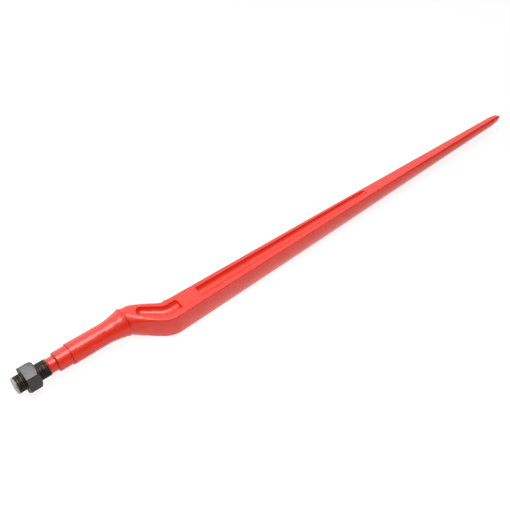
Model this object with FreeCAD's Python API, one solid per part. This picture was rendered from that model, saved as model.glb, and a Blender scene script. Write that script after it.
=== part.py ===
import FreeCAD, Part
import math
import os

# Cranked bale spear: one forged tine with a turned, threaded tail, and the nut that clamps it.
# It lies on its side, so the forging's parting plane is z = 0 and both faces carry flutes.
# The shank axis is X and the point looks along +X. The origin is the centre of the collar's
# shoulder face, where the thread relief begins. The blade is cranked aside, towards -Y.

# Overall
overall_length = 1100.0

# Threaded tail, turned; the tooth form itself is left to the surface model
thread_diameter = 28.0
thread_length = 56.0
thread_chamfer_length = 2.4
thread_chamfer_depth = 1.44
relief_diameter = 24.8
relief_length = 14.0
relief_cone = 2.0
relief_fillet = 1.6

# Guide collar, turned
collar_diameter = 32.6
collar_length = 23.5
collar_chamfer = 0.9

# Shank and flare, forged round
shank_length = 100.0
shank_diameter = 36.4
waist_diameter = 35.7
shank_edge = 0.8
flare_length = 40.0
flare_diameter = 47.6
flare_lead_in = 24.0

# Crank: two bends in the parting plane, with the body flowing from round to flat-faced
crank_offset = 39.9
crank_angle = 39.0
first_bend_radius = 25.0
second_bend_radius = 28.0
seam_step = 0.5
crank_half_land = 16.2
crank_half_width = 20.6
crank_half_height = 20.6
crank_corner = 2.5
# how far the round has become flat-faced at each station, and the corner radius left there
first_bend_middle_share = 0.36
first_bend_middle_corner = 14.5
first_bend_end_share = 0.66
first_bend_end_corner = 9.0
slant_middle_share = 0.96
slant_middle_corner = 4.5

# Blade: half sizes of its section at the root, further out, and where the point begins
blade_toe_in = 0.6
root_half_land = 19.3
root_half_width = 23.4
root_half_height = 20.7
middle_share = 0.42
middle_half_land = 12.0
middle_half_width = 17.0
middle_half_height = 17.7
outer_share = 0.73
outer_half_land = 7.0
outer_half_width = 12.4
outer_half_height = 13.8
neck_half_land = 3.4
neck_half_width = 8.6
neck_half_height = 9.3
edge_radius = 1.1

# Point, ground more on one side than on the other
point_length = 28.0
point_shoulder_share = 0.61
point_shoulder_scale = 0.72
point_end_scale = 0.25
point_shift = -0.9

# Flutes, alike on both faces
crank_flute_start = 31.5
crank_flute_length = 65.0
crank_flute_half_width = 9.2
flute_half_width = 10.8
flute_depth = 8.0
flute_shift = 0.9
flute_end_half_width = 6.3
flute_end_depth = 4.4
flute_land = 40.8
blade_flute_length = 380.0
flute_wall_draft = 8.0

# Hexagon nut
nut_across_flats = 42.0
nut_height = 22.0
nut_place = 15.6
nut_turn = 12.0
nut_chamfer_angle = 42.0
nut_face_diameter = 38.0
thread_clearance = 0.05

# How finely the lofts are cut
ROOT_BEND_STEPS = 4
CRANK_FLUTE_STEPS = 6
BLADE_FLUTE_STEPS = 4
# directions, in degrees, where the round seam is cut into the same eight parts as a flat section
SEAM_CORNERS = (65, 115, 160, 200, 245, 295, 340, 380, 425)

# Places that follow from the sizes
THREAD_START = -relief_length
TAIL_END = THREAD_START - thread_length
POINT_END = TAIL_END + overall_length
SEAM = collar_length + shank_length
FLARE_START = SEAM - flare_length
# Share along the blade, half land, half width and half height of its sections
BLADE_ROWS = (
    (0.0, root_half_land, root_half_width, root_half_height),
    (middle_share, middle_half_land, middle_half_width, middle_half_height),
    (outer_share, outer_half_land, outer_half_width, outer_half_height),
    (1.0, neck_half_land, neck_half_width, neck_half_height),
)


def vec(x, y=0.0, z=0.0):
    return FreeCAD.Vector(x, y, z)


def mix(first, last, share):
    return first + (last - first) * share


def lines(points):
    """Straight edges joining the points in turn."""
    edges = []
    for first, last in zip(points, points[1:]):
        edges.append(Part.LineSegment(first, last).toShape())
    return edges


class Centreline:
    """The plan line of the crank and blade: arc, straight, arc, straight, from the seam."""

    def __init__(self):
        crank = math.radians(crank_angle)
        toe = math.radians(blade_toe_in)
        self.arc_1 = first_bend_radius * crank
        self.arc_2 = second_bend_radius * (crank + toe)
        drop_1 = first_bend_radius * (1 - math.cos(crank))
        drop_2 = second_bend_radius * (math.cos(toe) - math.cos(crank))
        self.slant = (crank_offset - drop_1 - drop_2) / math.sin(crank)
        self.bend_2 = self.arc_1 + self.slant
        self.root = self.bend_2 + self.arc_2
        root_place = self.at(self.root)[0]
        self.end = self.root + (POINT_END - root_place.x) / math.cos(toe)
        self.neck = self.end - point_length

    def at(self, distance):
        """Point and heading at a distance from the seam."""
        place = vec(SEAM)
        heading = -min(distance, self.arc_1) / first_bend_radius
        place += vec(-math.sin(heading), math.cos(heading) - 1) * first_bend_radius
        rest = distance - self.arc_1
        if rest <= 0:
            return place, heading
        along = vec(math.cos(heading), math.sin(heading))
        place += along * min(rest, self.slant)
        rest -= self.slant
        if rest <= 0:
            return place, heading
        centre = place + vec(-math.sin(heading), math.cos(heading)) * second_bend_radius
        heading += min(rest, self.arc_2) / second_bend_radius
        place = centre + vec(math.sin(heading), -math.cos(heading)) * second_bend_radius
        rest -= self.arc_2
        if rest <= 0:
            return place, heading
        return place + vec(math.cos(heading), math.sin(heading)) * rest, heading


LINE = Centreline()


def section(distance, half_land, half_width, half_height, corner, shift=0.0):
    """Closed eight-sided wire: flat faces, tangent corners, and sides that bulge to z = 0."""
    place, heading = LINE.at(distance)
    side = vec(-math.sin(heading), math.cos(heading))
    place = place + side * shift

    def point(y, z):
        return place + side * y + vec(0, 0, z)

    tilt = 2 * math.atan((half_width - half_land - corner) / (half_height - corner))

    def on_corner(angle):
        y = half_land + corner * math.cos(angle)
        z = half_height - corner + corner * math.sin(angle)
        return y, z

    middle = on_corner((math.pi / 2 + tilt) / 2)
    foot = on_corner(tilt)
    edges = []
    for y_sign, z_sign in ((1, 1), (-1, 1), (-1, -1), (1, -1)):
        top = point(y_sign * half_land, z_sign * half_height)
        mid = point(y_sign * middle[0], z_sign * middle[1])
        low = point(y_sign * foot[0], z_sign * foot[1])
        edges.append((top, mid, low))
    wall = (point(-half_width, 0), point(half_width, 0))
    wire = [
        Part.LineSegment(edges[0][0], edges[1][0]),
        Part.Arc(*edges[1]),
        Part.Arc(edges[1][2], wall[0], edges[2][2]),
        Part.Arc(edges[2][2], edges[2][1], edges[2][0]),
        Part.LineSegment(edges[2][0], edges[3][0]),
        Part.Arc(*edges[3]),
        Part.Arc(edges[3][2], wall[1], edges[0][2]),
        Part.Arc(edges[0][2], edges[0][1], edges[0][0]),
    ]
    return Part.Wire([edge.toShape() for edge in wire])


def seam_section(radius):
    """The round section at the seam, cut into the same eight parts as the sections after it."""
    edges = []
    for first, last in zip(SEAM_CORNERS, SEAM_CORNERS[1:]):
        points = []
        for degrees in (first, (first + last) / 2, last):
            angle = math.radians(degrees)
            points.append(vec(SEAM, radius * math.cos(angle), radius * math.sin(angle)))
        edges.append(Part.Arc(*points).toShape())
    return Part.Wire(edges)


def make_crank():
    """From the round seam to the blade's root, fanning round both bends."""
    sections = [seam_section(flare_diameter / 2 + seam_step)]
    steps = (
        (LINE.arc_1 / 2, first_bend_middle_share, first_bend_middle_corner),
        (LINE.arc_1, first_bend_end_share, first_bend_end_corner),
        (LINE.arc_1 + LINE.slant / 2, slant_middle_share, slant_middle_corner),
        (LINE.bend_2, 1.0, crank_corner),
    )
    for distance, share, corner in steps:
        land = crank_half_land * share
        width = mix(flare_diameter / 2, crank_half_width, share)
        height = mix(flare_diameter / 2, crank_half_height, share)
        sections.append(section(distance, land, width, height, corner))
    for step in range(1, ROOT_BEND_STEPS + 1):
        share = step / ROOT_BEND_STEPS
        sections.append(section(
            LINE.bend_2 + LINE.arc_2 * share,
            mix(crank_half_land, root_half_land, share),
            mix(crank_half_width, root_half_width, share),
            mix(crank_half_height, root_half_height, share),
            mix(crank_corner, edge_radius, share)))
    return Part.makeLoft(sections, True, False)


def make_blade():
    """Straight tapers from each section to the next."""
    sections = []
    for share, land, width, height in BLADE_ROWS:
        distance = mix(LINE.root, LINE.neck, share)
        sections.append(section(distance, land, width, height, edge_radius))
    return Part.makeLoft(sections, True, True)


def make_point():
    sections = []
    for share, scale in ((0.0, 1.0), (point_shoulder_share, point_shoulder_scale), (1.0, point_end_scale)):
        sections.append(section(
            LINE.neck + point_length * share,
            neck_half_land * scale,
            neck_half_width * scale,
            neck_half_height * scale,
            edge_radius * scale,
            point_shift * share))
    return Part.makeLoft(sections, True, True)


def make_turned():
    """Thread, relief, collar, shank and flare, as one turned outline."""
    thread = thread_diameter / 2
    relief = relief_diameter / 2
    collar = collar_diameter / 2
    shank = shank_diameter / 2
    waist = waist_diameter / 2
    flare = flare_diameter / 2
    slope = (flare - waist) / (flare_length - flare_lead_in / 2)
    lead_out = vec(FLARE_START + flare_lead_in, waist + slope * flare_lead_in / 2)
    tail = [
        vec(SEAM, 0),
        vec(TAIL_END, 0),
        vec(TAIL_END, thread - thread_chamfer_depth),
        vec(TAIL_END + thread_chamfer_length, thread),
        vec(THREAD_START, thread),
        vec(THREAD_START + relief_cone, relief),
        vec(-relief_fillet, relief),
    ]
    fillet_middle = vec(-relief_fillet * (1 - math.sqrt(0.5)), relief + relief_fillet * (1 - math.sqrt(0.5)))
    fillet = Part.Arc(tail[-1], fillet_middle, vec(0, relief + relief_fillet))
    body = [
        vec(0, relief + relief_fillet),
        vec(0, collar - collar_chamfer),
        vec(collar_chamfer, collar),
        vec(collar_length, collar),
        vec(collar_length, shank - shank_edge),
        vec(collar_length + shank_edge, shank),
        vec(FLARE_START, waist),
    ]
    curve = Part.BezierCurve()
    curve.setPoles([body[-1], vec(FLARE_START + flare_lead_in / 2, waist), lead_out])
    end = [lead_out, vec(SEAM, flare), vec(SEAM, 0)]
    edges = lines(tail) + [fillet.toShape()] + lines(body) + [curve.toShape()] + lines(end)
    return Part.Face(Part.Wire(edges)).revolve(vec(0), vec(1), 360)


def flute_place(distance, height):
    """Middle of the flute cutter, its sideways direction and its heading."""
    place, heading = LINE.at(distance)
    side = vec(-math.sin(heading), math.cos(heading))
    return place + vec(0, 0, height) + side * flute_shift, side, heading


def ring(distance, radius, height, lean=0.0):
    """A round section of the flute cutter, standing across the centreline."""
    place, side, heading = flute_place(distance, height)
    along = vec(math.cos(heading), math.sin(heading))
    up = vec(0, 0, math.cos(lean)) + along * math.sin(lean)
    edges = []
    for quarter in range(4):
        points = []
        for step in range(3):
            angle = (quarter + step / 2) * math.pi / 2
            points.append(place + side * (radius * math.cos(angle)) + up * (radius * math.sin(angle)))
        edges.append(Part.Arc(*points).toShape())
    return Part.Wire(edges)


def cutter(half_width, depth, face):
    """Radius and centre height of a round cutter that opens a flute of this width and depth."""
    radius = (half_width ** 2 + depth ** 2) / (2 * depth)
    return radius, face + radius - depth


def face_height(distance):
    """Half height of the blade at a distance beyond its root."""
    share = (distance - LINE.root) / (LINE.neck - LINE.root)
    for low, high in zip(BLADE_ROWS, BLADE_ROWS[1:]):
        if share <= high[0]:
            return mix(low[3], high[3], (share - low[0]) / (high[0] - low[0]))
    return neck_half_height


def make_crank_flute():
    """Cutter with a ball end near the seam and a steep wall at the blade's root."""
    end = crank_flute_start + crank_flute_length
    rings = []
    for step in range(CRANK_FLUTE_STEPS + 1):
        share = step / CRANK_FLUTE_STEPS
        half_width = mix(crank_flute_half_width, flute_half_width, share)
        radius, height = cutter(half_width, flute_depth, crank_half_height)
        lean = math.radians(flute_wall_draft) if step == CRANK_FLUTE_STEPS else 0.0
        rings.append(ring(mix(crank_flute_start, end, share), radius, height, lean))
    radius, height = cutter(crank_flute_half_width, flute_depth, crank_half_height)
    ball = Part.makeSphere(radius, flute_place(crank_flute_start, height)[0])
    return Part.makeLoft(rings, True, False).fuse(ball)


def make_blade_flute():
    """Cutter with a steep wall at the root, narrowing to a ball end out along the blade."""
    start = crank_flute_start + crank_flute_length + flute_land
    end = start + blade_flute_length
    rings = []
    for step in range(BLADE_FLUTE_STEPS + 1):
        share = step / BLADE_FLUTE_STEPS
        distance = mix(start, end, share)
        half_width = mix(flute_half_width, flute_end_half_width, share)
        depth = mix(flute_depth, flute_end_depth, share)
        radius, height = cutter(half_width, depth, face_height(distance))
        lean = -math.radians(flute_wall_draft) if step == 0 else 0.0
        rings.append(ring(distance, radius, height, lean))
    radius, height = cutter(flute_end_half_width, flute_end_depth, face_height(end))
    ball = Part.makeSphere(radius, flute_place(end, height)[0])
    return Part.makeLoft(rings, True, False).fuse(ball)


def make_spear():
    body = make_turned().fuse([make_crank(), make_blade(), make_point()])
    for flute in (make_crank_flute(), make_blade_flute()):
        body = body.cut([flute, flute.mirror(vec(0), vec(0, 0, 1))])
    return body


def make_nut():
    corner = nut_across_flats / math.sqrt(3)
    face = nut_face_diameter / 2
    chamfer = (corner - face) * math.tan(math.radians(nut_chamfer_angle))
    left = TAIL_END + nut_place
    right = left + nut_height
    points = []
    for step in range(7):
        angle = math.radians(nut_turn + 60 * step)
        points.append(vec(left, corner * math.cos(angle), corner * math.sin(angle)))
    hexagon = Part.Face(Part.makePolygon(points)).extrude(vec(nut_height))
    outline = [(left, 0), (left, corner), (right - chamfer, corner), (right, face), (right, 0)]
    wire = Part.makePolygon([vec(*point) for point in outline + outline[:1]])
    envelope = Part.Face(wire).revolve(vec(0), vec(1), 360)
    bore_radius = thread_diameter / 2 + thread_clearance
    bore = Part.makeCylinder(bore_radius, nut_height * 2, vec(left - nut_height / 2), vec(1))
    return hexagon.common(envelope).cut(bore)


os.makedirs("parts", exist_ok=True)
make_spear().exportStep("parts/spear.step")
make_nut().exportStep("parts/hex_nut.step")
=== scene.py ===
import math

import bpy
from mathutils import Matrix, Vector


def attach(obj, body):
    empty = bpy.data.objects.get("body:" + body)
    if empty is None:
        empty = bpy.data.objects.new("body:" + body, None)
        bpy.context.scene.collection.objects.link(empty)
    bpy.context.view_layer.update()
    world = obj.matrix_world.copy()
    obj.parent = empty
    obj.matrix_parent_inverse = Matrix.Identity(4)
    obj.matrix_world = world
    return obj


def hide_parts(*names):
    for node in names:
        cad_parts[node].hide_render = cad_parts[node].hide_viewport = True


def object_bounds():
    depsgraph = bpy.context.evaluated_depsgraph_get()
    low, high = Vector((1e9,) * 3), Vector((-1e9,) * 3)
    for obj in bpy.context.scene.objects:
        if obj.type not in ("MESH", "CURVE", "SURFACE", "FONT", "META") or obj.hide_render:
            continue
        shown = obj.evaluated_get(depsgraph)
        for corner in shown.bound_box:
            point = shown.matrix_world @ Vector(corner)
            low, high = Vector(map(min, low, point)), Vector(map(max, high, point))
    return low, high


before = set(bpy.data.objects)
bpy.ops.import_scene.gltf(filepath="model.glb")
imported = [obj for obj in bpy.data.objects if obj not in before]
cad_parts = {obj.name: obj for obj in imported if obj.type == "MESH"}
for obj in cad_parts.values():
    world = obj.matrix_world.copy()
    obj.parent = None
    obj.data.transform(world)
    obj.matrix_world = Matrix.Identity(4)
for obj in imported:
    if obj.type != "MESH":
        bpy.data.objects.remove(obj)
cad_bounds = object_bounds()

# ---------------------------------------------------------------------------------------------
# The spear: one steel forging. Its shank is forged round and flares to a seam, the crank carries it
# aside, and the blade tapers to a ground point with a flute in each face. The tail's collar and relief
# are turned. All of it ahead of the thread is painted red.


class Term:
    """A value in a node tree. Operators on it add Math nodes, and make() adds any other node."""

    def __init__(self, tree, socket=None):
        self.tree = tree
        self.socket = socket

    def make(self, kind, settings=None, inputs=None, output=0):
        node = self.tree.nodes.new(kind)
        for name, value in (settings or {}).items():
            if name == "stops":
                for place, colour in value[len(node.color_ramp.elements):]:
                    node.color_ramp.elements.new(place)
                for element, (place, colour) in zip(node.color_ramp.elements, value):
                    element.position = place
                    element.color = colour
            else:
                setattr(node, name, value)
        for name, value in (inputs or {}).items():
            if isinstance(value, Term):
                self.tree.links.new(value.socket, node.inputs[name])
            else:
                node.inputs[name].default_value = value
        return Term(self.tree, node.outputs[output])

    def math(self, operation, *others, clamped=False):
        values = dict(enumerate((self,) + others))
        return self.make("ShaderNodeMath", {"operation": operation, "use_clamp": clamped}, values)

    def ramp(self, start, end, low=0.0, high=1.0, curve="LINEAR"):
        """Goes from low at start to high at end, and stays there."""
        inputs = {"Value": self, "From Min": start, "From Max": end, "To Min": low, "To Max": high}
        return self.make("ShaderNodeMapRange", {"interpolation_type": curve}, inputs)

    def through(self, points):
        """Follows straight lines through points of (place, level)."""
        total = points[0][1]
        for (start, before), (end, after) in zip(points, points[1:]):
            if before != after:
                total = self.ramp(start, end, 0.0, after - before) + total
        return total

    def mix(self, first, last):
        return first + (last - first) * self

    def sin(self):
        return self.math("SINE")

    def cos(self):
        return self.math("COSINE")

    def root(self):
        return self.math("SQRT")

    def __add__(self, other):
        return self.math("ADD", other)

    def __sub__(self, other):
        return self.math("SUBTRACT", other)

    def __mul__(self, other):
        return self.math("MULTIPLY", other)

    def __truediv__(self, other):
        return self.math("DIVIDE", other)

    def __pow__(self, other):
        return self.math("POWER", other)

    def __radd__(self, other):
        return self + other

    def __rsub__(self, other):
        return self * -1.0 + other

    def __rmul__(self, other):
        return self * other

    def __neg__(self):
        return self * -1.0


def new_tree(name, sizes):
    """An empty Geometry Nodes tree with a named input for each size, and those inputs as terms."""
    tree = bpy.data.node_groups.new(name, "GeometryNodeTree")
    tree.interface.new_socket(name="Geometry", in_out="OUTPUT", socket_type="NodeSocketGeometry")
    for size in sizes:
        tree.interface.new_socket(name=size, in_out="INPUT", socket_type="NodeSocketFloat")
    group = tree.nodes.new("NodeGroupInput")
    return Term(tree), {size: Term(tree, group.outputs[size]) for size in sizes}


def sleeve(start, rows, columns):
    """A grid to be rolled up: its geometry, and each point's row and column."""
    grid = start.make("GeometryNodeMeshGrid", inputs={"Vertices X": rows + 1, "Vertices Y": columns + 1})
    index = start.make("GeometryNodeInputIndex")
    row = ((index + 0.5) / (columns + 1.0)).math("FLOOR")
    return grid, row, index - row * (columns + 1.0)


def vector(x, y, z):
    """Three terms in millimetres as one place in metres."""
    place = x.make("ShaderNodeCombineXYZ", inputs={"X": x, "Y": y, "Z": z})
    return place.make("ShaderNodeVectorMath", {"operation": "SCALE"}, {0: place, "Scale": MM})


def close_up(geometry, material, sharp_angle):
    """Welds seams and poles, and smooths all but the sharp edges."""
    geometry = geometry.make("GeometryNodeMergeByDistance", inputs={"Geometry": geometry, "Distance": WELD})
    geometry = geometry.make("GeometryNodeSetShadeSmooth", {"domain": "FACE"},
                             {"Geometry": geometry, "Shade Smooth": True})
    angle = geometry.make("GeometryNodeInputMeshEdgeAngle")
    sharp = angle.make("FunctionNodeCompare", {"operation": "GREATER_THAN"}, {0: angle, 1: sharp_angle})
    geometry = geometry.make("GeometryNodeSetShadeSmooth", {"domain": "EDGE"},
                             {"Geometry": geometry, "Selection": sharp, "Shade Smooth": False})
    geometry = geometry.make("GeometryNodeRealizeInstances", inputs={"Geometry": geometry})
    return geometry.make("GeometryNodeSetMaterial", inputs={"Geometry": geometry, "Material": material})


def build(name, geometry, sizes):
    """Runs a finished tree with these sizes, and returns its result as a plain mesh object."""
    tree = geometry.tree
    tree.links.new(geometry.socket, tree.nodes.new("NodeGroupOutput").inputs["Geometry"])
    maker = bpy.data.objects.new(name + "_maker", bpy.data.meshes.new(name + "_maker"))
    bpy.context.scene.collection.objects.link(maker)
    modifier = maker.modifiers.new("shape", "NODES")
    modifier.node_group = tree
    for socket in tree.interface.items_tree:
        if socket.in_out == "INPUT":
            modifier[socket.identifier] = sizes[socket.name]
    graph = bpy.context.evaluated_depsgraph_get()
    mesh = bpy.data.meshes.new_from_object(maker.evaluated_get(graph))
    bpy.data.objects.remove(maker)
    piece = bpy.data.objects.new(name, mesh)
    bpy.context.scene.collection.objects.link(piece)
    return piece


def new_material(name):
    """An empty material and its first term, from which the others are made."""
    material = bpy.data.materials.new(name)
    material.use_nodes = True
    material.node_tree.nodes.clear()
    return material, Term(material.node_tree)


def finish_material(shader):
    output = shader.tree.nodes.new("ShaderNodeOutputMaterial")
    shader.tree.links.new(shader.socket, output.inputs["Surface"])


MM = 0.001
WELD = 0.004 * MM

# Red gloss paint over the forging's skin, which is rough on the shank and crank and smoother on the
# blade, where dressing left marks along it. The paint is thin or chipped at a few sharp places.
CHIPS = (
    # place, radius, how far the chip reaches through the paint
    ((0.1925, -0.0600, 0.0200), 0.0011, 1.0), ((0.1320, -0.0140, 0.0195), 0.0009, 0.7),
    ((0.9960, -0.0350, 0.0050), 0.0010, 0.8), ((0.1300, -0.0190, 0.0150), 0.0007, 0.6),
    ((0.1275, -0.0060, 0.0228), 0.0007, 0.5), ((0.1292, -0.0095, 0.0218), 0.0007, 0.6),
    ((0.1308, -0.0125, 0.0205), 0.0006, 0.5),
)
red_paint, start = new_material("red_paint")
place = start.make("ShaderNodeTexCoord", output="Object")
along = start.make("ShaderNodeAttribute", {"attribute_name": "along"}, output="Fac")
skin = start.make("ShaderNodeTexNoise", inputs={"Vector": place, "Scale": 420.0, "Detail": 3.0})
scale_pits = start.make("ShaderNodeTexNoise", inputs={"Vector": place, "Scale": 210.0, "Detail": 2.0})
drawn = start.make("ShaderNodeMapping", inputs={"Vector": place, "Scale": (0.06, 1.0, 1.0)})
dressing = start.make("ShaderNodeTexNoise", inputs={"Vector": drawn, "Scale": 700.0, "Detail": 2.0})
cloud = start.make("ShaderNodeTexNoise", inputs={"Vector": place, "Scale": 45.0, "Detail": 2.0})
forged = along.ramp(-101.0, -99.0, 0.12, 1.0) * along.ramp(30.0, 110.0, 1.0, 0.12)
height = (skin * 0.18 + scale_pits * 0.20) * MM * forged + dressing * 0.012 * MM
bump = start.make("ShaderNodeBump", inputs={"Height": height, "Distance": 1.0, "Strength": 1.0})
colour = start.make("ShaderNodeMix", {"data_type": "RGBA"}, {
    0: cloud.ramp(0.3, 0.7), 6: (0.77, 0.021, 0.005, 1.0), 7: (0.83, 0.027, 0.007, 1.0)}, output=2)
chipped = 0.0
for spot, reach, depth in CHIPS:
    near = start.make("ShaderNodeVectorMath", {"operation": "DISTANCE"}, {0: place, 1: spot}, "Value")
    ragged = near + (skin - 0.5) * reach * 1.6
    chipped = ragged.ramp(reach * 0.7, reach, depth, 0.0).math("MAXIMUM", chipped)
# The collar's shoulder and the shank's step are darkened as painted shade in their corners, and the point is
# darkened as wear.
SHADE_AND_POINT_WEAR = (
    # distance along the spear, share: painted shade at the collar's shoulder and at the shank's, and wear at
    # the point
    (-125.4, 0.0), (-124.6, 0.75), (-123.5, 0.6), (-122.9, 0.0),
    (-100.5, 0.0), (-100.1, 0.7), (-99.6, 0.6), (-99.3, 0.0), (912.0, 0.0), (919.2, 0.6),
)
shade_and_wear = along.through(SHADE_AND_POINT_WEAR)
colour = start.make("ShaderNodeMix", {"data_type": "RGBA"}, {
    0: shade_and_wear, 6: colour, 7: (0.16, 0.008, 0.005, 1.0)}, output=2)
colour = start.make("ShaderNodeMix", {"data_type": "RGBA"}, {
    0: chipped, 6: colour, 7: (0.055, 0.022, 0.018, 1.0)}, output=2)
shader = start.make("ShaderNodeBsdfPrincipled", inputs={
    "Base Color": colour, "Roughness": skin.ramp(0.3, 0.7, 0.36, 0.48), "Normal": bump,
    "Specular IOR Level": 0.25, "Coat Weight": 1.0 - chipped, "Coat Roughness": 0.14})
finish_material(shader)

# Lengths are in millimetres and angles in radians. Distances along the spear are from the seam.
spear_sizes = {
    "Relief start": -13.6, "Relief edge radius": 13.68, "Relief radius": 12.4, "Relief cone": 1.6,
    "Relief fillet": 1.6, "Collar length": 23.5, "Collar radius": 16.3, "Collar chamfer": 0.9,
    "Shank length": 100.0, "Shank radius": 18.2, "Shank edge": 0.8, "Waist radius": 17.85,
    "Flare length": 40.0, "Flare lead-in": 24.0, "Flare radius": 23.8, "Seam depth": 0.5,
    "Crank angle": math.radians(39.0), "First bend radius": 25.0, "Slant length": 44.637,
    "Second bend radius": 28.0, "Blade toe-in": math.radians(0.6), "Blade length": 838.2,
    "Crank land": 16.2, "Crank width": 20.6, "Crank height": 20.6, "Crank corner": 2.5,
    "Root land": 19.3, "Root width": 23.35, "Root height": 20.7, "Blade corner": 1.8,
    "Bend fillet": 1.6, "Bend fillet reach": 10.8,
    "Middle land": 12.0, "Middle width": 17.0, "Middle height": 17.7,
    "Outer land": 7.0, "Outer width": 12.4, "Outer height": 13.8,
    "Neck land": 3.4, "Neck width": 8.6, "Neck height": 9.3,
    "Point length": 28.0, "Point shift": -0.9,
    "Crank flute start": 31.5, "Crank flute width": 9.2, "Crank flute end": 96.5,
    "Flute width": 10.8, "Flute depth": 8.0, "Flute shift": 0.9, "Flute lip": 0.35,
    "Blade flute start": 137.3, "Blade flute end": 517.3, "Flute end width": 6.3, "Flute end depth": 4.4,
    "Forging waves": 0.28, "Blade waves": 0.10,
}
QUARTER = 24
SIDE_COLUMNS = 7
CORNER_COLUMNS = 5
LAND_COLUMNS = 3
LIP_COLUMNS = 3
GROOVE_COLUMNS = QUARTER - SIDE_COLUMNS - CORNER_COLUMNS - LAND_COLUMNS - LIP_COLUMNS
COLUMNS = 4 * QUARTER

start, size = new_tree("spear_shape", spear_sizes)
seam = size["Collar length"] + size["Shank length"]
flare_start = size["Flare length"] * -1.0
arc_1 = size["First bend radius"] * size["Crank angle"]
bend_2 = arc_1 + size["Slant length"]
arc_2 = size["Second bend radius"] * (size["Crank angle"] + size["Blade toe-in"])
root = bend_2 + arc_2
tip = root + size["Blade length"]
neck = tip - size["Point length"]
shoulder = neck + size["Point length"] * 0.61

# Rows of the sleeve, in legs: rows, distance along, radius of the turned part, flute openness, point scale
legs = [(0, size["Relief start"] - seam, 0.0, 0.0, 1.0)]


def leg(rows, distance, radius=None, open_share=None, scale=None):
    """Adds a leg, with what isn't given as it was before."""
    before = legs[-1]
    given = [radius, open_share, scale]
    kept = [old if new is None else new for old, new in zip(before[2:], given)]
    legs.append((rows, distance, *kept))


leg(2, legs[0][1], size["Relief edge radius"])
leg(2, legs[0][1] + size["Relief cone"], size["Relief radius"])
leg(4, size["Relief fillet"] * -1.0 - seam)
FILLET_STEPS = 4
for step in range(1, FILLET_STEPS + 1):
    turn = math.pi / 2 * step / FILLET_STEPS
    leg(1, size["Relief fillet"] * (math.sin(turn) - 1.0) - seam,
        size["Relief radius"] + size["Relief fillet"] * (1 - math.cos(turn)))
collar_face = size["Collar radius"] - size["Collar chamfer"]
leg(2, seam * -1.0, collar_face)
leg(2, size["Collar chamfer"] - seam, size["Collar radius"])
leg(12, size["Shank length"] * -1.0)
leg(1, size["Shank length"] * -1.0, size["Shank radius"] - size["Shank edge"])
for step in range(1, FILLET_STEPS + 1):
    turn = math.pi / 2 * step / FILLET_STEPS
    leg(1, size["Shank edge"] * (1 - math.cos(turn)) - size["Shank length"],
        size["Shank radius"] + size["Shank edge"] * (math.sin(turn) - 1.0))
leg(38, flare_start, size["Waist radius"])
SEAM_SWELL = ((10, -5.0, 0.0), (5, -0.3, 0.35), (1, -0.05, 0.38),
              (1, 0.12, 0.4), (1, 0.4, 0.44), (1, 0.8, 0.48))
leg(14, flare_start * 0.5)
for rows, distance, rise in SEAM_SWELL:
    leg(rows, distance, size["Waist radius"] + rise)
leg(8, 10.0, size["Waist radius"] + 0.3)
leg(9, 22.0)
BALL_STEPS = 7
for step in range(BALL_STEPS):
    turn = math.pi / 2 * step / BALL_STEPS
    leg(1, size["Crank flute start"] - size["Crank flute width"] * math.cos(turn), open_share=1.0)
leg(3, size["Crank flute start"])
leg(24, bend_2)
leg(18, root)
WALL = ((-1.2, 1.0), (-0.5, 0.98), (-0.15, 0.92), (0.85, 0.08), (1.15, 0.015), (1.7, 0.0))
leg(9, size["Crank flute end"] + WALL[0][0])
for rise, open_share in WALL[1:]:
    leg(1, size["Crank flute end"] + rise, open_share=open_share)
leg(20, size["Blade flute start"] - WALL[-1][0])
for rise, open_share in WALL[-2::-1]:
    leg(1, size["Blade flute start"] - rise, open_share=open_share)
leg(180, size["Blade flute end"])
for step in range(BALL_STEPS - 1, -1, -1):
    turn = math.pi / 2 * step / BALL_STEPS
    leg(1, size["Blade flute end"] + size["Flute end width"] * math.cos(turn))
leg(160, neck, open_share=0.0)
leg(10, shoulder, scale=0.76)
leg(6, tip - 0.6, scale=0.26)
leg(1, tip - 0.2, scale=0.17)
leg(1, tip - 0.03, scale=0.08)
leg(1, tip, scale=0.0)

ends = [sum(rows for rows, *_ in legs[:count + 1]) for count in range(len(legs))]
grid, row, column = sleeve(start, ends[-1], COLUMNS)
distance, radius, open_share, scale = [
    row.through([(end, entry[part]) for end, entry in zip(ends, legs)]) for part in (1, 2, 3, 4)]

# The place and heading of the centreline
turn_1 = distance.ramp(0.0, arc_1, 0.0, size["Crank angle"])
turn_2 = distance.ramp(bend_2, root, 0.0, size["Crank angle"] + size["Blade toe-in"])
slant = distance.ramp(arc_1, bend_2, 0.0, size["Slant length"])
blade = (distance - root).math("MAXIMUM", 0.0)
crank_angle = size["Crank angle"]
leaning = crank_angle - turn_2
line_x = (seam + distance.math("MINIMUM", 0.0) + size["First bend radius"] * turn_1.sin()
          + slant * crank_angle.cos() + size["Second bend radius"] * (crank_angle.sin() - leaning.sin())
          + blade * size["Blade toe-in"].cos())
line_y = (size["First bend radius"] * (turn_1.cos() - 1.0) - slant * crank_angle.sin()
          - size["Second bend radius"] * (leaning.cos() - crank_angle.cos())
          + blade * size["Blade toe-in"].sin())
heading = turn_2 - turn_1

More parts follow.
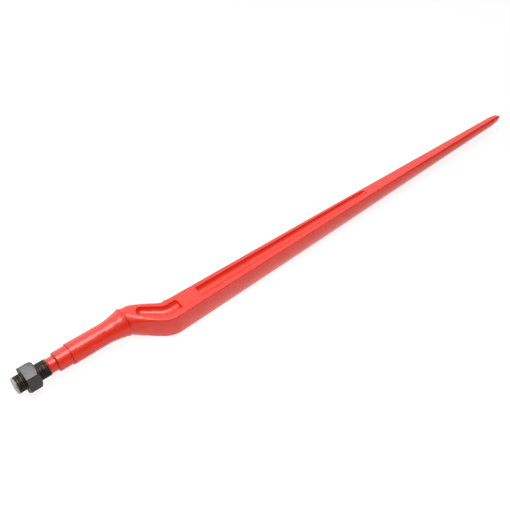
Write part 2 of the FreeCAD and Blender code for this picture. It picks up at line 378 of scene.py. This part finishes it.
# Half sizes of the section, which grow from round at the seam to flat-faced at the second bend. The
# crank's outer side keeps its round corner for longer. Each pair below is for the inner and outer side.
quarter = column.math("PINGPONG", float(QUARTER))
side_sign = ((column - 2.0 * QUARTER).math("ABSOLUTE") - QUARTER).math("SIGN")
face_sign = (column - 2.0 * QUARTER - 0.5).math("SIGN")
outer = side_sign * -0.5 + 0.5
to_bend = distance.ramp(0.0, bend_2)
FLATTENING = (2.2, 1.3)
ROUNDNESS = (17.0, 19.0)
ROUNDNESS_FADE = (1.9, 1.3)
share = 1.0 - (1.0 - to_bend) ** outer.mix(*FLATTENING)
stations = [(bend_2, "Crank"), (root, "Root"), (root + (neck - root) * 0.42, "Middle"),
            (root + (neck - root) * 0.73, "Outer"), (neck, "Neck")]


def half_size(kind, at_seam):
    first = size["Crank " + kind]
    later = distance.through([(at, size[name + " " + kind] - first) for at, name in stations])
    return (share.mix(at_seam, first) + later) * scale


half_land = half_size("land", 0.0)
half_width = half_size("width", size["Flare radius"])
half_height = half_size("height", size["Flare radius"])
corner = (distance.through([(bend_2, size["Crank corner"]), (root, size["Blade corner"])])
          + outer.mix(*ROUNDNESS) * (1.0 - to_bend) ** outer.mix(*ROUNDNESS_FADE)) * scale

# A quarter of the section: side, corner, land, lip and groove
shares = []
first = 0
for count in (SIDE_COLUMNS, CORNER_COLUMNS, LAND_COLUMNS, LIP_COLUMNS, GROOVE_COLUMNS):
    shares.append(quarter.ramp(first, first + count))
    first += count
on_side, on_corner, on_land, on_lip, on_groove = shares
tilt = 2.0 * ((half_width - half_land - corner) / (half_height - corner + 0.0001)).math("ARCTANGENT")
foot = half_height - corner + corner * tilt.sin()
bulge = foot / tilt.sin().math("MAXIMUM", 0.0001)
corner_angle = on_corner.mix(tilt, math.pi / 2)
side_y = half_width - bulge * (1.0 - (tilt * on_side).cos()) + corner * (corner_angle.cos() - tilt.cos())
side_z = bulge * (tilt * on_side).sin() + corner * (corner_angle.sin() - tilt.sin())

# The groove: a round cutter's arc, with ball ends
flute_width = distance.through([
    (size["Crank flute start"], size["Crank flute width"]), (size["Crank flute end"], size["Flute width"]),
    (size["Blade flute start"], size["Flute width"]), (size["Blade flute end"], size["Flute end width"])])
flute_depth = distance.through([
    (size["Blade flute start"], size["Flute depth"]), (size["Blade flute end"], size["Flute end depth"])])
beyond = (size["Crank flute start"] - distance).math("MAXIMUM", 0.0) \
    + (distance - size["Blade flute end"]).math("MAXIMUM", 0.0)
cutter = (flute_width * flute_width + flute_depth * flute_depth) / (2.0 * flute_depth)
above = cutter - flute_depth
arc = (cutter * cutter - beyond * beyond).math("MAXIMUM", above * above).root()
mouth = (arc * arc - above * above).math("MAXIMUM", 0.0).root()
lip = ((arc - above) * 0.5).math("MINIMUM", size["Flute lip"])
rim = ((above + lip) / arc).math("ARCCOSINE")
groove_angle = rim * (1.0 - on_groove)
lip_y = (1.0 - on_lip) * (1.0 - on_lip) * (mouth + lip) + 2.0 * on_lip * (1.0 - on_lip) * mouth \
    + on_lip * on_lip * arc * rim.sin()
inner_y = lip_y - mouth - lip + arc * (groove_angle.sin() - rim.sin())
drop = on_lip * on_lip * lip + arc * groove_angle.cos() - above - lip
reach = size["Bend fillet reach"]
rise = distance.ramp(bend_2 - reach, bend_2) * distance.ramp(root, root + reach, 1.0, 0.0)
fillet = size["Bend fillet"] * rise * rise * (1.0 - outer) * (1.0 - on_land)
section_y = side_sign * (side_y + fillet + on_land * (mouth + lip - half_land) + inner_y) \
    + on_land * size["Flute shift"] * scale
section_z = side_z - drop * open_share

# The round form, and its change into the section after the seam
round_angle = math.radians(20) * on_side + math.radians(45) * on_corner \
    + math.radians(25) * quarter.ramp(SIDE_COLUMNS + CORNER_COLUMNS, QUARTER)
past_lead = (distance - flare_start)
lead = past_lead.math("MAXIMUM", 0.0)
slope = (size["Flare radius"] - size["Waist radius"]) / (size["Flare length"] - size["Flare lead-in"] * 0.5)
early = lead.math("MINIMUM", size["Flare lead-in"])
flare = slope * (early * early / (2.0 * size["Flare lead-in"])
                 + lead.math("MINIMUM", size["Flare length"]) - early)

# The seam shows as a shallow cut on top, and fades toward the underside
upper = (face_sign * round_angle.sin()).ramp(0.0, 0.7)
seam_depth = size["Seam depth"]
seam_cut = distance.through([(-0.3, 0.0), (-0.05, seam_depth), (0.12, seam_depth), (0.4, 0.0)])
radius = radius + flare - seam_cut * upper
formed = distance.ramp(0.6, 10.0)
local_y = formed.mix(side_sign * radius * round_angle.cos(), section_y)
local_y = local_y + distance.ramp(shoulder, tip, 0.0, size["Point shift"])
local_z = face_sign * formed.mix(radius * round_angle.sin(), section_z)
place = vector(line_x - heading.sin() * local_y, line_y + heading.cos() * local_y, local_z)

geometry = start.make("GeometryNodeSetPosition", inputs={"Geometry": grid, "Position": place})
geometry = start.make("GeometryNodeStoreNamedAttribute", {"data_type": "FLOAT", "domain": "POINT"},
                      {"Geometry": geometry, "Name": "along", "Value": distance})
geometry = close_up(geometry, red_paint, math.radians(38))

# The hammered skin only ever lies inside the true form
stored = start.make("GeometryNodeInputNamedAttribute", {"data_type": "FLOAT"}, {"Name": "along"})
spot = start.make("GeometryNodeInputPosition")
hammered = start.make("ShaderNodeTexNoise", inputs={"Vector": spot, "Scale": 130.0, "Detail": 2.0})
waves = stored.ramp(-98.0, -90.0, 0.0, size["Forging waves"]) \
    + stored.ramp(55.0, 110.0, 0.0, size["Blade waves"] - size["Forging waves"])
waves = waves * (1.0 - stored.ramp(-4.0, -1.0) * stored.ramp(5.0, 2.0))
inward = start.make("ShaderNodeVectorMath", {"operation": "SCALE"}, {
    0: start.make("GeometryNodeInputNormal"), "Scale": hammered.ramp(0.3, 0.7) * waves * -MM})
geometry = start.make("GeometryNodeSetPosition", inputs={"Geometry": geometry, "Offset": inward})
geometry = start.make("GeometryNodeSetMaterial", inputs={"Geometry": geometry, "Material": red_paint})
forging = build("forging", geometry, spear_sizes)
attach(forging, "spear")
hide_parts("spear")

# ---------------------------------------------------------------------------------------------
# The thread: M28 fine, cut on the spear's tail and left bare. It is oiled dark, its crests are lighter as
# rubbed wear and as a painted glint, its turns carry bands of wear and of painted light and shade, its end is
# sawn and chamfered, and its last turns caught some of the red paint.
# It is one metal with the forging.
bare_thread, start = new_material("bare_thread")
place = start.make("ShaderNodeTexCoord", output="Object")
crest = start.make("ShaderNodeAttribute", {"attribute_name": "crest"}, output="Fac")
smear = start.make("ShaderNodeTexNoise", inputs={"Vector": place, "Scale": 220.0, "Detail": 3.0})
along_tail = start.make("ShaderNodeSeparateXYZ", inputs={"Vector": place}, output="X")
BAND_RATE = 2050.0
# The bands along the thread are partly wear and partly painted light and shade of its turns. The crests'
# lightening is partly rubbed wear and partly a painted glint.
light_and_wear_bands = (along_tail * BAND_RATE + smear * 3.0).sin().ramp(-0.6, 0.8)
rubbed_and_glint = crest.ramp(0.5, 1.0, 0.35, 1.0) * smear.ramp(0.35, 0.62) * light_and_wear_bands.ramp(0.0, 1.0, 0.1, 1.0)
tone = start.make("ShaderNodeMix", {"data_type": "RGBA"}, {
    0: rubbed_and_glint, 6: (0.050, 0.036, 0.029, 1.0), 7: (0.36, 0.29, 0.22, 1.0)}, output=2)
sawn = along_tail.ramp(-0.0690, -0.0674, 1.0, 0.0)
tone = start.make("ShaderNodeMix", {"data_type": "RGBA"}, {
    0: sawn, 6: tone, 7: (0.62, 0.60, 0.57, 1.0)}, output=2)
sprayed = (along_tail + smear * 0.006).ramp(-0.0132, -0.0102)
tone = start.make("ShaderNodeMix", {"data_type": "RGBA"}, {
    0: sprayed, 6: tone, 7: (0.55, 0.018, 0.010, 1.0)}, output=2)
shader = start.make("ShaderNodeBsdfPrincipled", inputs={
    "Base Color": tone, "Metallic": sprayed.ramp(0.0, 1.0, 0.75, 0.0),
    "Roughness": smear.ramp(0.3, 0.7, 0.3, 0.5)})
finish_material(shader)

thread_sizes = {
    "Thread start": -70.0, "Thread end": -13.6, "Pitch": 1.5, "Crest radius": 14.0, "Root radius": 13.08,
    "End chamfer": 2.4, "End radius": 12.56, "Cone radius": 13.68, "Run-out": 2.2,
}
TURN_ROWS = 8
TURN_COLUMNS = 64
turns = math.ceil((thread_sizes["Thread end"] - thread_sizes["Thread start"]) / thread_sizes["Pitch"])
start, size = new_tree("thread_shape", thread_sizes)
grid, row, column = sleeve(start, (turns + 1) * TURN_ROWS + 2, TURN_COLUMNS)
place_x = size["Thread start"] + size["Pitch"] * ((row - 1.0) / TURN_ROWS - 1.0 + column / TURN_COLUMNS)
place_x = place_x.math("MAXIMUM", size["Thread start"]).math("MINIMUM", size["Thread end"])
phase = (row - 1.0).math("FLOORED_MODULO", float(TURN_ROWS)) / TURN_ROWS
groove = phase.through([(0.125, 0.0), (0.4375, 1.0), (0.6875, 1.0), (1.0, 0.0)])
groove = groove * place_x.ramp(size["Thread end"] - size["Run-out"], size["Thread end"], 1.0, 0.0)
profile = groove.mix(size["Crest radius"], size["Root radius"])
nose = place_x.ramp(size["Thread start"], size["Thread start"] + size["End chamfer"],
                    size["End radius"], size["Crest radius"])
heel = place_x.ramp(size["Thread end"] - 0.4, size["Thread end"], size["Crest radius"], size["Cone radius"])
radius = profile.math("MINIMUM", nose).math("MINIMUM", heel)
last_row = float((turns + 1) * TURN_ROWS + 2)
radius = radius * row.ramp(0.0, 1.0) * row.ramp(last_row - 1.0, last_row, 1.0, 0.0)
angle = column * (-2.0 * math.pi / TURN_COLUMNS)
geometry = start.make("GeometryNodeSetPosition", inputs={
    "Geometry": grid, "Position": vector(place_x, radius * angle.cos(), radius * angle.sin())})
geometry = start.make("GeometryNodeStoreNamedAttribute", {"data_type": "FLOAT", "domain": "POINT"},
                      {"Geometry": geometry, "Name": "crest", "Value": 1.0 - groove})
geometry = close_up(geometry, bare_thread, math.radians(35))
thread = build("thread", geometry, thread_sizes)
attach(thread, "spear")
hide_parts("spear")

# ---------------------------------------------------------------------------------------------
# The nut: a plain hexagon nut, hot forged and blackened, chamfered on the side that meets the tool's
# wall. It screws on the thread, and is left loose on it for carriage.
nut_metal, start = new_material("nut_metal")
place = start.make("ShaderNodeTexCoord", output="Object")
grain = start.make("ShaderNodeTexNoise", inputs={"Vector": place, "Scale": 400.0, "Detail": 4.0})
tone = start.make("ShaderNodeMix", {"data_type": "RGBA"}, {
    0: grain.ramp(0.3, 0.7), 6: (0.098, 0.094, 0.089, 1.0), 7: (0.152, 0.147, 0.139, 1.0)}, output=2)
bump = start.make("ShaderNodeBump", inputs={"Height": grain * 0.05 * MM, "Distance": 1.0, "Strength": 0.5})
shader = start.make("ShaderNodeBsdfPrincipled", inputs={
    "Base Color": tone, "Metallic": 0.85, "Roughness": grain.ramp(0.3, 0.7, 0.35, 0.5), "Normal": bump})
finish_material(shader)

nut_sizes = {
    "Left face": -54.4, "Right face": -32.4, "Half across flats": 21.0, "Corner limit": 23.95,
    "Turn": math.radians(12.0), "Chamfer angle": math.radians(42.0), "Face radius": 19.0,
    "Bore radius": 14.05, "Countersink": 1.3, "Edge": 0.35,
}
SECTOR_COLUMNS = 12
NUT_COLUMNS = 6 * SECTOR_COLUMNS
start, size = new_tree("nut_shape", nut_sizes)
flat_edge = math.acos(nut_sizes["Half across flats"] / nut_sizes["Corner limit"])
in_sector_places = [(0, -math.pi / 6), (1, -flat_edge), (2, -flat_edge + 0.02),
                    (10, flat_edge - 0.02), (11, flat_edge), (12, math.pi / 6)]
NUT_LEGS = (0, 2, 1, 1, 8, 1, 3, 1, 3, 2, 14, 2)
nut_ends = [sum(NUT_LEGS[:count + 1]) for count in range(len(NUT_LEGS))]
grid, row, column = sleeve(start, nut_ends[-1], NUT_COLUMNS)
sector = (column / SECTOR_COLUMNS + 0.0001).math("FLOOR")
in_sector = (column - sector * SECTOR_COLUMNS).through(in_sector_places)
angle = -(sector * (math.pi / 3) + in_sector + math.pi / 6) + size["Turn"]
hexagon = (size["Half across flats"] / in_sector.cos()).math("MINIMUM", size["Corner limit"])
chamfer_end = size["Right face"] - (hexagon - size["Face radius"]) * size["Chamfer angle"].math("TANGENT")
mouth_radius = size["Bore radius"] + size["Countersink"]
edge = size["Edge"]
outline = [
    (size["Left face"] + size["Countersink"], size["Bore radius"]),
    (size["Left face"], mouth_radius),
    (size["Left face"], hexagon - edge * 2.0),
    (size["Left face"] + edge * 0.3, hexagon - edge * 0.3),
    (size["Left face"] + edge * 2.0, hexagon),
    (chamfer_end - edge, hexagon),
    (chamfer_end + edge * 0.6, hexagon - edge * 0.5),
    (size["Right face"] - edge, size["Face radius"] + edge * 1.1),
    (size["Right face"], size["Face radius"] - edge),
    (size["Right face"], mouth_radius),
    (size["Right face"] - size["Countersink"], size["Bore radius"]),
    (size["Left face"] + size["Countersink"], size["Bore radius"]),
]
place_x = row.through([(end, point[0]) for end, point in zip(nut_ends, outline)])
radius = row.through([(end, point[1]) for end, point in zip(nut_ends, outline)])
geometry = start.make("GeometryNodeSetPosition", inputs={
    "Geometry": grid, "Position": vector(place_x, radius * angle.cos(), radius * angle.sin())})
geometry = close_up(geometry, nut_metal, math.radians(35))
nut = build("hexagon_nut", geometry, nut_sizes)
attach(nut, "nut")
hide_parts("hex_nut")

# ---------------------------------------------------------------------------------------------
# The table it lies on, the light and the camera. The table is white paper that keeps the object's shadow, and
# it also gives painted light: a glow on the object and a painted reflection.
# A round softbox hangs over the shank, and the sky behind is lighter than the room on the camera's side.
table_white, start = new_material("table_white")
place = start.make("ShaderNodeTexCoord", output="Object")
along_x = start.make("ShaderNodeSeparateXYZ", inputs={"Vector": place}, output="X")
along_y = start.make("ShaderNodeSeparateXYZ", inputs={"Vector": place}, output="Y")
WHITE = (1.0, 1.0, 1.0, 1.0)
seen = start.make("ShaderNodeLightPath", output="Is Camera Ray")
mirrored = start.make("ShaderNodeLightPath", output="Is Glossy Ray")
diffuse = start.make("ShaderNodeBsdfDiffuse", inputs={"Color": (0.86, 0.86, 0.86, 1.0)})
paper = start.make("ShaderNodeEmission", inputs={"Color": WHITE})
# What glossy rays see of the table is a painted reflection: white, darker toward the front and toward the
# tail end, as painted shade near the object.
painted_reflection = start.make("ShaderNodeEmission", inputs={
    "Color": WHITE, "Strength": along_y.ramp(-0.3, 0.5, 0.75, 1.0) * along_x.ramp(0.05, 0.28, 0.62, 1.0)})
# The table glows as painted light on the object, stronger toward the tail end and fading toward the point.
painted_glow = start.make("ShaderNodeEmission", inputs={
    "Color": WHITE, "Strength": along_x.ramp(0.2, 1.0, 0.44, 0.13)})
diffuse = start.make("ShaderNodeAddShader", inputs={0: diffuse, 1: painted_glow})
shader = start.make("ShaderNodeMixShader", inputs={0: seen * 0.8, 1: diffuse, 2: paper})
shader = start.make("ShaderNodeMixShader", inputs={0: mirrored, 1: shader, 2: painted_reflection})
finish_material(shader)
TABLE_HALF = 6.0
lowest = cad_bounds[0][2]
mesh = bpy.data.meshes.new("table")
mesh.from_pydata([(-TABLE_HALF, -TABLE_HALF, lowest), (TABLE_HALF, -TABLE_HALF, lowest),
                  (TABLE_HALF, TABLE_HALF, lowest), (-TABLE_HALF, TABLE_HALF, lowest)], [], [(0, 1, 2, 3)])
mesh.materials.append(table_white)
table = bpy.data.objects.new("table", mesh)
bpy.context.scene.collection.objects.link(table)

scene = bpy.context.scene
scene.view_settings.view_transform = "Standard"
world = bpy.data.worlds.new("studio")
world.use_nodes = True
world.node_tree.nodes.clear()
start = Term(world.node_tree)
direction = start.make("ShaderNodeTexCoord", output="Generated")
seen = start.make("ShaderNodeLightPath", output="Is Camera Ray")
SKY_WAY = (0.0, 0.62, 0.78)
facing = start.make("ShaderNodeVectorMath", {"operation": "DOT_PRODUCT"}, {0: direction, 1: SKY_WAY}, "Value")
sky = facing.ramp(0.0, 0.8, 0.12, 1.15, "SMOOTHSTEP")
room = start.make("ShaderNodeBackground", inputs={"Color": WHITE, "Strength": sky})
white = start.make("ShaderNodeBackground", inputs={"Color": WHITE, "Strength": 1.0})
shader = start.make("ShaderNodeMixShader", inputs={0: seen, 1: room, 2: white})
output = world.node_tree.nodes.new("ShaderNodeOutputWorld")
world.node_tree.links.new(shader.socket, output.inputs["Surface"])
scene.world = world

LAMP_WIDTH = 1.0
LAMP_POWER = 10.6
LAMP_PLACE = (0.25, -0.06, 1.4)
lamp = bpy.data.lights.new("softbox", "AREA")
lamp.energy = LAMP_POWER
lamp.shape = "DISK"
lamp.size = LAMP_WIDTH
softbox = bpy.data.objects.new("softbox", lamp)
softbox.location = LAMP_PLACE
scene.collection.objects.link(softbox)

IMAGE_SIDE = 510
CAMERA_PLACE = (-0.24331, -0.77564, 1.00822)
right = Vector((0.77029, -0.63769, 0.0))
forward = Vector((0.44490, 0.53741, -0.71642))
down = Vector((-0.45686, -0.55185, -0.69767))
camera = bpy.data.cameras.new("camera")
camera.lens = 57.31
camera.sensor_width = 36.0
camera.shift_x = -0.5 / IMAGE_SIDE
camera.shift_y = 0.5 / IMAGE_SIDE
camera.clip_start = 0.01
camera_object = bpy.data.objects.new("camera", camera)
turned = Matrix((right, -down, -forward)).transposed().to_4x4()
camera_object.matrix_world = Matrix.Translation(CAMERA_PLACE) @ turned
scene.collection.objects.link(camera_object)
scene.camera = camera_object
